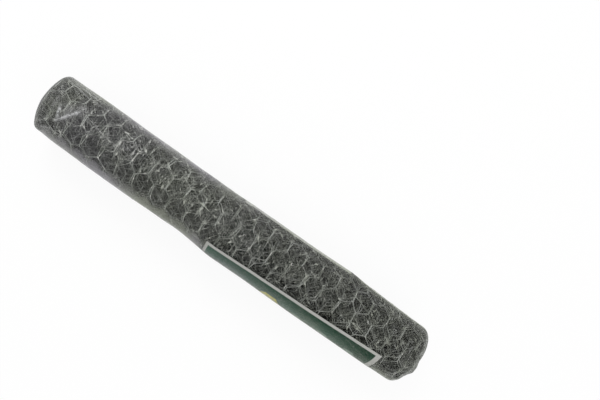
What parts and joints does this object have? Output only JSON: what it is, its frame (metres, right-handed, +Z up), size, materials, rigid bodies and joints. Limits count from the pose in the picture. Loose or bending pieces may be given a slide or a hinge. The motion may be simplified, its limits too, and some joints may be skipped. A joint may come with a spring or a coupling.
{
  "type": "roll of hexagonal wire netting",
  "caption": "Hollow roll of galvanised hexagonal wire netting in a clear shrink sleeve with a printed card, lying on its side.",
  "frame": {"origin": "on the bore's axis, at mid-length of the netting", "axes": "+X along the roll towards its more rounded end, -Y to the side that carries the printed card, +Z up as it lies"},
  "size_m": [0.5018, 0.0786, 0.0788],
  "materials": {
    "galvanised_wire": "dull zinc, lightly weathered",
    "printed_card": "coated card, semi-gloss print with a white border",
    "clear_film": "clear shrink film, glossy, slightly hazy"
  },
  "bodies": {
    "root": {"netting_roll": "galvanised_wire", "label_card": "printed_card", "shrink_film": "clear_film"}
  },
  "joints": []
}
